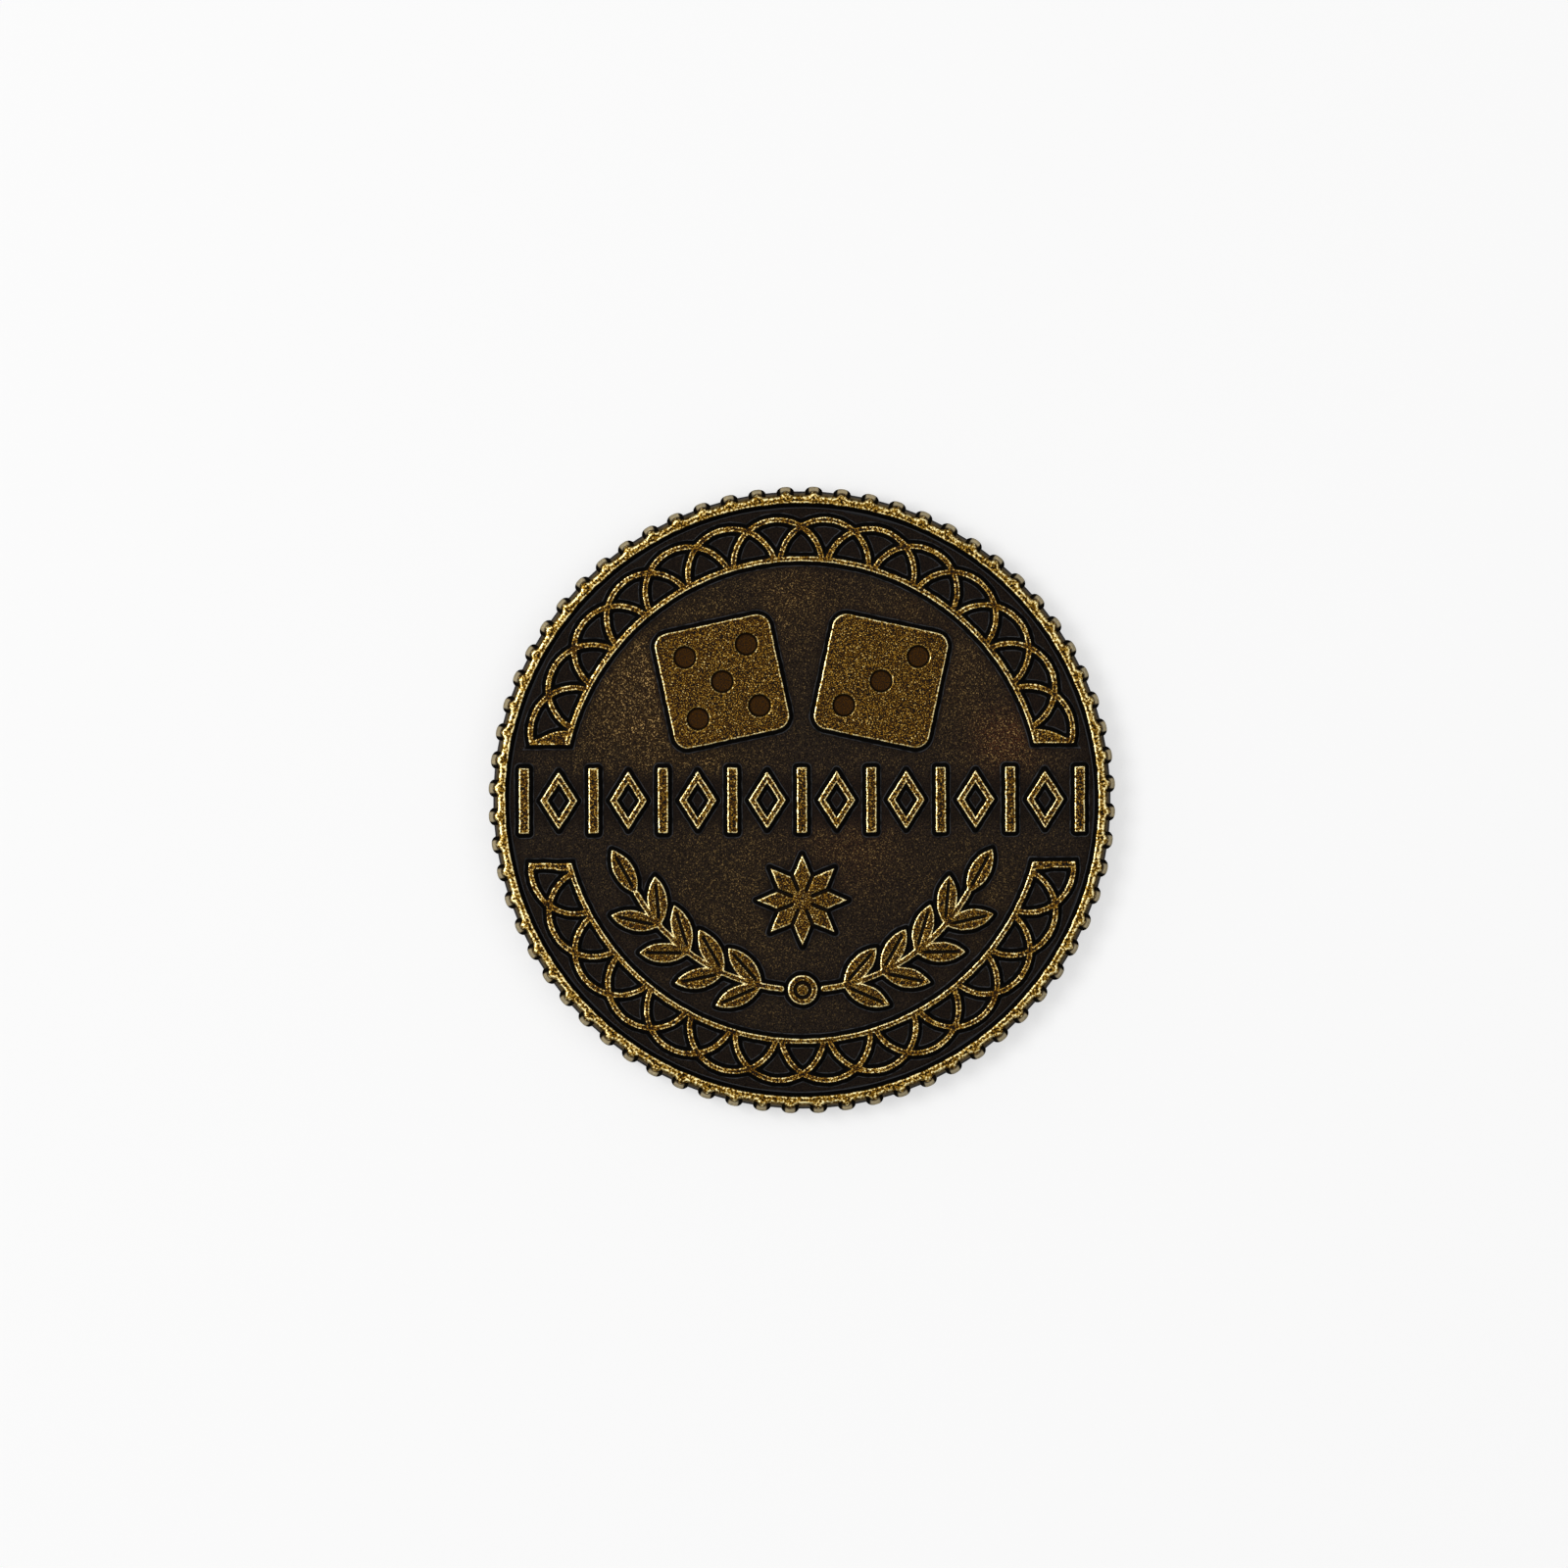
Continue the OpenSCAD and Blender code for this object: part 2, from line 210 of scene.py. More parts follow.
# Wear of the reeded edge: dents, and where its metal is bare or dull; with a painted highlight along the
# ring's foot, and rim edges painted brighter to the left and right
REED_DENT = 0.015
REED_DENT_CELL = 0.7
REED_DENT_SEED = 11
RIM_WOBBLE = 0.03
RIM_WOBBLE_CELL = 0.4
RIM_WOBBLE_W = 0.15
RIM_WOBBLE_SEED = 12
# Painted highlight: a grey line along the ring's foot, where its fillet would catch the light
FOOT_HIGHLIGHT_AT = 0.28
FOOT_HIGHLIGHT_W = 0.03
INNER_WEAR_AT = 0.055
INNER_WEAR_W = 0.06
OUTER_WEAR_AT = 0.03
OUTER_WEAR_W = 0.09
# Painted highlight: how much brighter the rim's edges are to the left and right than to the top and bottom
SIDE_HIGHLIGHT = 0.15
NECK_WEAR = 0.6
NECK_REACH = 0.3
ROUND_FADE = 0.09
ROUND_CAP = 0.3
SIDE_FADE = 0.45
CAP_FROM = 0.38
CAP_TO = 0.25

# Unevenness of the fields, and how open they are beside the relief
FIELD_WAVE = 0.008
FIELD_WAVE_CELL = 1.7
FIELD_RIPPLE = 0.004
FIELD_RIPPLE_CELL = 0.5
FRONT_FIELD_SEED = 21
BACK_FIELD_SEED = 23
OPEN_EDGE = 0.1
OPEN_RUN = 0.3
OPEN_SPREAD = 0.6
CELL_OPEN = 0.35
CELL_RUN = 0.4

# Where the fields are scuffed: place, reach, and how brown and how rusty
SCUFFS = [
    (-8.5, 7.0, 5.5, 1.0, 0.1),
    (7.5, 9.0, 5.5, 0.45, 0.2),
    (13.0, 3.9, 2.7, 0.55, 0.9),
    (3.0, -2.6, 4.0, 0.3, 0.5),
    (0.0, 13.0, 4.0, 0.35, 0.2),
    (-4.0, -6.0, 6.0, 0.25, 0.0),
    (11.0, -7.5, 4.0, 0.35, 0.0),
]
BACK_SCUFF_TURN = math.radians(150)

# Meshes
GRID = 0.055
FIELD_GRID = 0.16
MARGIN_CELLS = 4
SKIRT = 0.03
RING_LAP = 0.4
FIELD_LAP = 0.1
FOOT_STEPS = 3
LEAST_SLOPE = 0.2

# How the wear of a relief is read from its heights
CARVED_SPREAD = 0.06
CARVED_RISE = 0.04
CARVED_INSET = 0.1
RUB_SPREAD = 0.4
RUB_RISE = 0.22


# Shares and noise

def rise(value, run):
    """Share that grows from 0 to 1 while a value grows from 0 to run."""
    return np.clip(value / run, 0, 1)


def nearness(gap, reach):
    """Share that falls from 1 at no gap to 0 at a gap of reach."""
    return np.clip(1 - gap / reach, 0, 1)


def bell(offset, width):
    """Share that is 1 at no offset and fades over about a width to both sides."""
    return np.exp(-((offset / width) ** 2))


def lattice_noise(x, y, cell, seed):
    """Smooth noise from -1 to 1 with features about one cell wide."""
    size = 256
    lattice = np.random.default_rng(seed).uniform(-1, 1, (size, size))
    u = x / cell + size / 2
    v = y / cell + size / 2
    i = np.floor(u).astype(int)
    j = np.floor(v).astype(int)
    s = u - i
    t = v - j
    s = s * s * (3 - 2 * s)
    t = t * t * (3 - 2 * t)
    i0, i1 = i % size, (i + 1) % size
    j0, j1 = j % size, (j + 1) % size
    low = lattice[j0, i0] * (1 - s) + lattice[j0, i1] * s
    high = lattice[j1, i0] * (1 - s) + lattice[j1, i1] * s
    return low * (1 - t) + high * t


# Distances to outlines, negative inside

def smooth_min(a, b, k):
    return np.minimum(a, b) - np.maximum(k - np.abs(a - b), 0) ** 2 / (4 * k)


def smooth_max(a, b, k):
    return -smooth_min(-a, -b, k)


def turned(x, y, angle):
    """The point in a frame that is turned by an angle."""
    c, s = math.cos(angle), math.sin(angle)
    return c * x + s * y, c * y - s * x


def box_distance(x, y, half_w, half_h, corner=0.0):
    qx = np.abs(x) - half_w + corner
    qy = np.abs(y) - half_h + corner
    outside = np.hypot(np.maximum(qx, 0), np.maximum(qy, 0))
    return outside + np.minimum(np.maximum(qx, qy), 0) - corner


def segment_distance(x, y, ax, ay, bx, by):
    """Distance to a segment, negative on the right of the way from a to b."""
    ex, ey = bx - ax, by - ay
    px, py = x - ax, y - ay
    along = np.clip((px * ex + py * ey) / (ex * ex + ey * ey), 0, 1)
    gap = np.hypot(px - along * ex, py - along * ey)
    return np.where(ex * py - ey * px < 0, -gap, gap)


def circle_distance(x, y, i):
    """Distance to the line of the border's circle number i."""
    a = (i + 0.5) * CIRCLE_STEP
    from_centre = np.hypot(x - CIRCLE_PATH_R * math.cos(a), y - CIRCLE_PATH_R * math.sin(a))
    return np.abs(from_centre - CIRCLE_R) - ARC_LINE / 2


def ring_distance(r):
    """Distance to the border's ring, at a radius."""
    return np.abs(r - RING_MID_R) - RING_LINE / 2


def border_distance(x, y, end_y, bar_in, bar_out):
    """One run of interlaced arcs in the upper half, with its ring and end bars. A bar is bar_in wide
    where it meets the ring and bar_out wide at its other end."""
    r = np.hypot(x, y)
    d = ring_distance(r)
    for i in range(CIRCLE_COUNT // 2):
        d = smooth_min(d, np.maximum(circle_distance(x, y, i), RING_R - r), CROSSING_FILLET)
    end_centre_x = CIRCLE_PATH_R * math.cos(1.5 * CIRCLE_STEP)
    end_centre_y = CIRCLE_PATH_R * math.sin(1.5 * CIRCLE_STEP)
    bar_from = math.sqrt(RING_R**2 - end_y**2)
    bar_to = end_centre_x + math.sqrt(CIRCLE_R**2 - (end_centre_y - end_y) ** 2)
    bar_l = bar_to - bar_from
    half_w = (bar_in + (bar_out - bar_in) * rise(np.abs(x) - bar_from, bar_l)) / 2
    bar = box_distance(np.abs(x) - (bar_from + bar_to) / 2, y - end_y - half_w, bar_l / 2, half_w)
    d = smooth_min(d, bar, CROSSING_FILLET)
    return smooth_max(d, end_y - y, CROSSING_FILLET)


def bars_distance(x, y):
    nearest = np.clip(np.round((x + END_BAR_X) / LOZENGE_PITCH), 0, LOZENGE_COUNT)
    across = x + END_BAR_X - nearest * LOZENGE_PITCH
    return box_distance(across, y, BAR_W / 2, BAND_H / 2, BAR_CORNER)


def lozenges_distance(x, y):
    nearest = np.clip(np.floor((x + END_BAR_X) / LOZENGE_PITCH), 0, LOZENGE_COUNT - 1)
    across = np.abs(x + END_BAR_X - (nearest + 0.5) * LOZENGE_PITCH)
    half_w = LOZENGE_TOP * LOZENGE_FOOT_HALF
    half_h = LOZENGE_TOP * BAND_FOOT
    outer = segment_distance(across, np.abs(y), 0, half_h, half_w, 0)
    return np.abs(outer + LOZENGE_LINE / 2) - LOZENGE_LINE / 2


def die_frame(x, y, side):
    """The point in the frame of the left die, side -1, or the right die, side 1."""
    return turned(x - side * DIE_X, y - DIE_Y, -side * DIE_TILT)


def die_distance(x, y, side):
    u, v = die_frame(x, y, side)
    return box_distance(u, v, DIE_W / 2, DIE_W / 2, DIE_CORNER)


def star_sector(x, y):
    """The point folded into half a point of the star: across its ridge, and out along it."""
    y = y - STAR_Y
    sector = 2 * STAR_HALF_SECTOR
    angle = np.abs((np.arctan2(x, y) + sector / 2) % sector - sector / 2)
    r = np.hypot(x, y)
    return r * np.sin(angle), r * np.cos(angle)


def star_distance(x, y):
    across, out = star_sector(x, y)
    notch_across = STAR_NOTCH_R * math.sin(STAR_HALF_SECTOR)
    notch_out = STAR_NOTCH_R * math.cos(STAR_HALF_SECTOR)
    return segment_distance(across, out, 0, STAR_R, notch_across, notch_out)


def leaf_frames(x, y):
    """The point in the frame of each leaf of the right-hand sprig: along the leaf from its middle, and
    across it."""
    places = [(STEM_END, 0.0)]
    for i in range(LEAF_PAIRS):
        for side in (-1, 1):
            places.append((STEM_START + (i + 0.5) * LEAF_STEP, side * LEAF_TURN))
    for at, turn in places:
        u, v = turned(x, y, at)
        u, v = turned(u, v + STEM_R, turn)
        yield u - LEAF_L / 2, v


def leaf_distance(u, v):
    u, v = np.abs(u), np.abs(v)
    half = LEAF_L / 2
    to_tip = np.hypot(u - half, v)
    to_arc = np.hypot(u, v + LEAF_ASIDE) - LEAF_ARC_R
    return np.where((u - half) * LEAF_ASIDE > v * half, to_tip, to_arc)


def sprig_distance(x, y, side):
    """The right-hand sprig, side 1, or the left-hand one, side -1."""
    x = side * x
    angle = np.clip(np.arctan2(x, -y), STEM_START, STEM_END)
    d = np.hypot(x - STEM_R * np.sin(angle), y + STEM_R * np.cos(angle)) - STEM_W / 2
    for u, v in leaf_frames(x, y):
        d = smooth_min(d, leaf_distance(u, v), CROSSING_FILLET)
    return d


def knot_distance(x, y):
    return np.hypot(x, y + STEM_R) - KNOT_D / 2


# Carving: how far a relief's top is cut down

def groove(gap, half_w, depth):
    """Depth of a V groove at a gap from its middle line."""
    return depth * nearness(gap, half_w)


def border_carving(x, y):
    """The arcs lie a little lower than the inner edge of their ring, and lower still where lines meet."""
    r = np.hypot(x, y)
    lines = nearness(ring_distance(r), MEETING_REACH)
    for i in range(CIRCLE_COUNT):
        lines += np.where(r > RING_R, nearness(circle_distance(x, y, i), MEETING_REACH), 0)
    meeting = np.clip(lines - 1, 0, 1)
    outward = np.clip((r - RING_MID_R) / RING_LINE + 0.5, 0, 1)
    return outward * (ARC_DROP + MEETING_DROP * meeting)


def pips_carving(x, y, side, pips):
    u, v = die_frame(x, y, side)
    slope = RELIEF_H / DRAFT
    cut = np.zeros_like(x)
    for px, py in pips:
        inside = PIP_D / 2 - np.hypot(u - px * PIP_PITCH, v - py * PIP_PITCH)
        cut = np.maximum(cut, np.clip(inside * slope, 0, PIP_DEPTH))
    return cut


def veins_carving(x, y, side):
    """A groove along the middle of each leaf, short of its ends."""
    cut = np.zeros_like(x)
    for u, v in leaf_frames(side * x, y):
        inside = rise(LEAF_L / 2 - VEIN_END_GAP - np.abs(u), VEIN_FADE)
        cut = np.maximum(cut, groove(np.abs(v), VEIN_HALF_W, VEIN_DEPTH) * inside)
    return cut


def star_carving(x, y):
    """Grooves from the star's hub to its notches."""
    across, out = star_sector(x, y)
    gap = np.abs(across * math.cos(STAR_HALF_SECTOR) - out * math.sin(STAR_HALF_SECTOR))
    outside_hub = rise(np.hypot(across, out) - STAR_HUB_R, STAR_HUB_FADE)
    return groove(gap, STAR_GROOVE_HALF_W, GROOVE_DEPTH) * outside_hub


def knot_carving(x, y):
    """A round groove halfway to the knot's edge."""
    r = np.hypot(x, y + STEM_R)
    return groove(np.abs(r - KNOT_D / 4), KNOT_GROOVE_HALF_W, GROOVE_DEPTH)


def no_carving(x, y):
    return np.zeros_like(x)


# The relief of both faces: each node's distance to its outline, and the carving of its top

def half_turn(function):
    return lambda x, y: function(-x, -y)


def sprig_of(side):
    return (lambda x, y: sprig_distance(x, y, side)), (lambda x, y: veins_carving(x, y, side))


def die_of(side, pips):
    return (lambda x, y: die_distance(x, y, side)), (lambda x, y: pips_carving(x, y, side, pips))


def upper_border(x, y):
    return border_distance(x, y, UPPER_END, UPPER_BAR_IN, UPPER_BAR_OUT)


def lower_border(x, y):
    return border_distance(-x, -y, LOWER_END, BORDER_LINE, BORDER_LINE)


COMMON = {
    "upper_border": (upper_border, border_carving),
    "lower_border": (lower_border, border_carving),
    "band_bars": (bars_distance, no_carving),
    "band_lozenges": (lozenges_distance, no_carving),
}
SPRAY = {
    "star": (star_distance, star_carving),
    "left_sprig": sprig_of(-1),
    "right_sprig": sprig_of(1),
    "knot": (knot_distance, knot_carving),
}
TURNED_NAME = {"star": "star", "left_sprig": "right_sprig", "right_sprig": "left_sprig", "knot": "knot"}

FRONT = {"front_" + name: shape for name, shape in {**COMMON, **SPRAY}.items()}
FRONT["front_left_die"] = die_of(-1, FIVE)
FRONT["front_right_die"] = die_of(1, THREE)
BACK = {"back_" + name: shape for name, shape in COMMON.items()}
for name, (distance, carving) in SPRAY.items():
    BACK["back_lower_" + name] = (distance, carving)
    BACK["back_upper_" + TURNED_NAME[name]] = (half_turn(distance), half_turn(carving))


# Mesh making

def blurred(grid, spread):
    """A grid of values, blurred by a bell of that spread in cells."""
    reach = int(3 * spread)
    weights = np.exp(-0.5 * (np.arange(-reach, reach + 1) / spread) ** 2)
    weights /= weights.sum()
    padded = np.pad(grid, reach, mode="edge")
    rows = sum(w * padded[:, i : i + grid.shape[1]] for i, w in enumerate(weights))
    return sum(w * rows[i : i + grid.shape[0]] for i, w in enumerate(weights))


def grid_cells(kept):
    """The kept cells of a grid as faces of four over the points that they use, and those points' places
    in the grid."""
    rows, columns = kept.shape
    number = np.arange((rows + 1) * (columns + 1)).reshape(rows + 1, columns + 1)
    corners = [number[:-1, :-1], number[:-1, 1:], number[1:, 1:], number[1:, :-1]]
    cells = np.stack([corner[kept] for corner in corners], -1)
    used = np.unique(cells)
    return np.searchsorted(used, cells), used


def closed_faces(cells, count):
    """Faces of a sheet of count points, of a second sheet that has its points after them and is turned
    over, and of the wall between their edges."""
    edges = np.stack([cells, np.roll(cells, -1, 1)], -1).reshape(-1, 2)
    way = edges[:, 0] * count + edges[:, 1]
    way_back = edges[:, 1] * count + edges[:, 0]
    rim = edges[~np.isin(way, way_back)]
    wall = np.stack([rim[:, 1], rim[:, 0], rim[:, 0] + count, rim[:, 1] + count], -1)
    return np.concatenate([cells, cells[:, ::-1] + count, wall])


def new_object(name, points, faces, values, material):
    """An object from points in millimetres, faces of four, and one named value set per point."""
    mesh = bpy.data.meshes.new(name)
    mesh.vertices.add(len(points))
    mesh.vertices.foreach_set("co", (np.asarray(points) * MM).astype(np.float32).ravel())
    mesh.loops.add(faces.size)
    mesh.loops.foreach_set("vertex_index", faces.astype(np.int32).ravel())
    mesh.polygons.add(len(faces))
    mesh.polygons.foreach_set("loop_start", np.arange(0, faces.size, 4, dtype=np.int32))
    mesh.polygons.foreach_set("use_smooth", np.ones(len(faces), dtype=bool))
    for key, value in values.items():
        layer = mesh.attributes.new(key, "FLOAT", "POINT")
        layer.data.foreach_set("value", np.asarray(value, dtype=np.float32))
    mesh.update(calc_edges=True)
    mesh.validate()
    mesh.materials.append(material)
    obj = bpy.data.objects.new(name, mesh)
    bpy.context.scene.collection.objects.link(obj)
    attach(obj, "root")
    return obj


def face_point(x, y, z, back):
    """A point over a face's field, in the token's frame."""
    if back:
        return np.stack([-x, y, FIELD_DEPTH - z], -1)
    return np.stack([x, y, TOKEN_T - FIELD_DEPTH + z], -1)


# Relief

def relief_grid(node, back):
    """Grid of points over a node's box, as seen on its own face."""
    low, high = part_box(node)
    left, right = (-high.x, -low.x) if back else (low.x, high.x)
    margin = MARGIN_CELLS * GRID
    xs = np.arange(left / MM - margin, right / MM + margin, GRID)
    ys = np.arange(low.y / MM - margin, high.y / MM + margin, GRID)
    return np.meshgrid(xs, ys)


def relief_height(d, cut):
    """Height over the field at a distance from the relief's outline, its top cut down where it is carved."""
    wall = RELIEF_H * (1 - d / DRAFT)
    z = smooth_min(RELIEF_H, wall, TOP_ROUND)
    z = np.minimum(z, RELIEF_H - cut)
    return smooth_max(z, 0, FOOT_ROUND)


def moved_to_foot(x, y, outline):
    """Points just outside a relief's foot, moved on to it down the slope of their distance."""
    tiny = GRID / 10
    for _ in range(FOOT_STEPS):
        off = outline(x, y) - FOOT_D
        gx = (outline(x + tiny, y) - outline(x - tiny, y)) / (2 * tiny)
        gy = (outline(x, y + tiny) - outline(x, y - tiny)) / (2 * tiny)
        move = np.clip(off / np.maximum(gx * gx + gy * gy, LEAST_SLOPE), -GRID, GRID)
        x = x - move * gx
        y = y - move * gy
    return x, y


def relief_piece(node, distance, carving, back, seed, material):
    """The dressed relief of one node, closed below its field."""
    def outline(x, y):
        return distance(x, y) + LINE_WOBBLE * lattice_noise(x, y, LINE_WOBBLE_CELL, seed)

    x, y = relief_grid(node, back)
    d = outline(x, y)
    cut = carving(x, y)
    inside = d < FOOT_D
    z = np.where(inside, relief_height(d, cut), 0)
    carved = rise(z - blurred(z, CARVED_SPREAD / GRID), CARVED_RISE)
    finish = {
        "inward": -d,
        "rub": rise(z - blurred(z, RUB_SPREAD / GRID), RUB_RISE),
        "carved": np.where(d < -CARVED_INSET, carved, 0),
        "cut": rise(cut, PIP_DEPTH),
    }
    kept = inside[:-1, :-1] | inside[1:, :-1] | inside[:-1, 1:] | inside[1:, 1:]
    cells, used = grid_cells(kept)
    z = z + TOP_UNEVEN * (z / RELIEF_H) * (lattice_noise(x, y, TOP_UNEVEN_CELL, seed + 1) - 1)
    px, py, pz, pd = (grid.ravel()[used] for grid in (x, y, z, d))
    outer = pd >= FOOT_D
    px[outer], py[outer] = moved_to_foot(px[outer], py[outer], outline)
    pz[outer] = 0
    count = len(used)
    points = np.concatenate([
        face_point(px, py, pz, back),
        face_point(px, py, np.full(count, -SKIRT), back),
    ])
    zeros = np.zeros(count)
    values = {key: np.concatenate([value.ravel()[used], zeros]) for key, value in finish.items()}
    obj = new_object(node + "_relief", points, closed_faces(cells, count), values, material)
    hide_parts(node)


# Blank: a ring with the rims and the reeded edge, and a disc with the two fields

# Row of the ring's section: its radius between the reeds and on a reed, the power of the reed's round, its
# height over the token's middle, and how far it is a rim's top, a reed's cap and the painted highlight line
# along a foot
RimRow = namedtuple("RimRow", "valley reed power height top cap foot", defaults=(0.0, 0.0, 0.0))


def reed_share(gap, power):
    """How far the edge stands out at a gap from a reed's middle: 1 there, 0 between reeds. A low power
    makes a full round, a high one a bell."""
    return np.clip(1 - (gap / REED_HALF_W) ** REED_SQUARENESS, 0, 1) ** power


def rim_edges(r):
    """Share of bright wear along the rim's two edges, at a radius between the reeds."""
    inner = bell(r - RIM_IN_R - INNER_WEAR_AT, INNER_WEAR_W)
    outer = bell(r - RIM_FLAT_R - OUTER_WEAR_AT, OUTER_WEAR_W)
    return np.maximum(inner, outer)


def rim_half_profile():
    """Rows of one half of the ring's section, from its foot on the field to the middle of its edge."""
    half_t = TOKEN_T / 2
    rows = []
    for d in np.linspace(DRAFT * (1 + FOOT_ROUND / FIELD_DEPTH), -RIM_EDGE_W, WALL_ROWS):
        wall = FIELD_DEPTH * (1 - d / DRAFT)
        z = smooth_max(smooth_min(FIELD_DEPTH, wall, TOP_ROUND), 0, FOOT_ROUND)
        r = RIM_IN_R - d
        height = half_t - FIELD_DEPTH + z
        # Painted highlight line along the ring's foot
        foot = bell(d - FOOT_HIGHLIGHT_AT, FOOT_HIGHLIGHT_W)
        rows.append(RimRow(r, r, LUG_POWER, height, top=z / FIELD_DEPTH, foot=foot))
    flat_from = RIM_IN_R + RIM_EDGE_W
    for t in np.linspace(0, 1, FLAT_ROWS + 1)[1:]:
        r = flat_from + t * (RIM_FLAT_R - flat_from)
        rows.append(RimRow(r, r + t * t * LUG_OUT, LUG_POWER, half_t, top=1.0))
    for a in ROUND_ANGLES:
        r = RIM_FLAT_R + RIM_ROUND * math.sin(a)
        height = half_t - RIM_ROUND * (1 - math.cos(a))
        top = 1 - ROUND_FADE * math.sin(a) ** 2
        rows.append(RimRow(r, r + LUG_OUT, LUG_POWER, height, top=top, cap=ROUND_CAP * math.sin(a)))
    rim_r = RIM_FLAT_R + RIM_ROUND
    lug_r = rim_r + LUG_OUT
    for a in SHOULDER_ANGLES:
        valley = rim_r + (VALLEY_R - rim_r) * math.sin(a)
        reed = lug_r + (REED_R - lug_r) * math.sin(a)
        height = half_t - RIM_ROUND - SHOULDER_DROP * (1 - math.cos(a))
        rows.append(RimRow(valley, reed, REED_POWER, height, cap=1 - SIDE_FADE * math.sin(a) ** 6))
    rows.append(RimRow(VALLEY_R, REED_R, REED_POWER, 0.0, cap=1 - SIDE_FADE))
    return rows


def rim_profile():
    """Rows of the ring's whole section: both halves, and its two ends inside the token."""
    upper = rim_half_profile()
    lower = [row._replace(height=-row.height) for row in upper[-2::-1]]
    end_r = FIELD_R - RING_LAP
    end_height = TOKEN_T / 2 - FIELD_DEPTH - SKIRT
    end = RimRow(end_r, end_r, LUG_POWER, end_height)
    return [end] + upper + lower + [end._replace(height=-end_height)]


def blank_edge(material):
    """Ring with both rims and the reeded edge."""
    offsets = np.array([-gap for gap in REED_OFFSETS[:0:-1]] + REED_OFFSETS)
    centres = REED_TURN + np.arange(REED_COUNT) * 2 * math.pi / REED_COUNT
    angle = (centres[:, None] + offsets[None, :] / EDGE_R).ravel()
    gap = np.tile(np.abs(offsets), REED_COUNT)
    steps = len(angle)
    rows = rim_profile()
    valley, reed, power, height, top, cap, foot = np.array(rows).T[:, :, None]

    edge_x, edge_y = EDGE_R * np.cos(angle), EDGE_R * np.sin(angle)
    dent = 0.5 * REED_DENT * (lattice_noise(edge_x, edge_y, REED_DENT_CELL, REED_DENT_SEED) - 1)
    dented = rise(valley - RIM_FLAT_R, VALLEY_R - RIM_FLAT_R)
    wobble = RIM_WOBBLE * lattice_noise(edge_x, edge_y, RIM_WOBBLE_CELL, RIM_WOBBLE_SEED)
    wobbled = bell(valley - RIM_IN_R, RIM_WOBBLE_W)
    r = valley + (reed - valley) * reed_share(gap, power) + dented * dent + wobbled * wobble
    z = np.repeat(height, steps, 1) + TOKEN_T / 2
    points = np.stack([r * np.cos(angle), r * np.sin(angle), z], -1).reshape(-1, 3)

    number = np.arange(len(rows) * steps).reshape(len(rows), steps)
    beside = np.roll(number, -1, 1)
    below = np.roll(number, -1, 0)
    faces = np.stack([below, np.roll(beside, -1, 0), beside, number], -1).reshape(-1, 4)

    lug = reed_share(gap, LUG_POWER)
    neck = rise(dented, NECK_REACH) * (top > 0.5) * lug
    # Real edge wear, with painted highlight: brighter to the left and right and dimmer to the top and
    # bottom, as the light falls
    rim_wear_and_side_highlight = rim_edges(valley) * (1 + SIDE_HIGHLIGHT * np.cos(2 * angle))
    values = {
        "top": np.maximum(top, neck),
        "edge": np.maximum(rim_wear_and_side_highlight, NECK_WEAR * neck),
        "lug": top * lug,
        "cap": cap * rise(CAP_FROM - gap, CAP_FROM - CAP_TO),
        "valley": dented * (gap > REED_HALF_W),
        "foot": np.repeat(foot, steps, 1),
    }
    values = {key: value.ravel() for key, value in values.items()}
    obj = new_object("blank_edge", points, faces, values, material)
    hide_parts("blank")


def field_height(x, y, seed):
    """Height of a field's slight waves and ripples."""
    wave = FIELD_WAVE * lattice_noise(x, y, FIELD_WAVE_CELL, seed)
    ripple = FIELD_RIPPLE * lattice_noise(x, y, FIELD_RIPPLE_CELL, seed + 1)
    return wave + ripple


def field_openness(x, y, shapes):
    """How open the field is at each point of a grid: low beside a wall and in a cell of the border, 1 clear
    of all relief."""
    gap = FIELD_R - np.hypot(x, y)
    for distance, _ in shapes.values():
        gap = np.minimum(gap, distance(x, y) - DRAFT)
    wide = blurred(rise(gap, OPEN_EDGE), OPEN_SPREAD / FIELD_GRID)
    return rise(wide - CELL_OPEN, CELL_RUN) * rise(gap + OPEN_EDGE, OPEN_RUN)


def field_scuff(x, y):
    """How brown and how rusty the field is scuffed at a point."""
    brown = np.zeros_like(x)
    rust = np.zeros_like(x)
    for at_x, at_y, reach, is_brown, is_rusty in SCUFFS:
        near = bell(np.hypot(x - at_x, y - at_y), reach)
        brown = np.maximum(brown, is_brown * near)
        rust = np.maximum(rust, is_rusty * near)
    return brown, rust


def blank_field(material):
    """Disc between the two fields, with its edge inside the ring."""
    reach = FIELD_R + FIELD_LAP
    n = int(reach / FIELD_GRID) + 1
    line = np.arange(-n, n + 1) * FIELD_GRID
    x, y = np.meshgrid(line, line)
    inside = np.hypot(x, y) < reach
    kept = inside[:-1, :-1] & inside[1:, :-1] & inside[:-1, 1:] & inside[1:, 1:]
    cells, used = grid_cells(kept)
    px, py = x.ravel()[used], y.ravel()[used]
    points = np.concatenate([
        face_point(px, py, field_height(px, py, FRONT_FIELD_SEED), False),
        np.stack([px, py, FIELD_DEPTH - field_height(px, py, BACK_FIELD_SEED)], -1),
    ])
    openness = [field_openness(x, y, FRONT), field_openness(-x, y, BACK)]
    scuffs = [field_scuff(px, py), field_scuff(*turned(px, py, BACK_SCUFF_TURN))]
    values = {
        "open": np.concatenate([grid.ravel()[used] for grid in openness]),
        "scuff": np.concatenate([brown for brown, rust in scuffs]),
        "rust": np.concatenate([rust for brown, rust in scuffs]),
    }
    obj = new_object("blank_field", points, closed_faces(cells, len(used)), values, material)
    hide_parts("blank")


# Materials

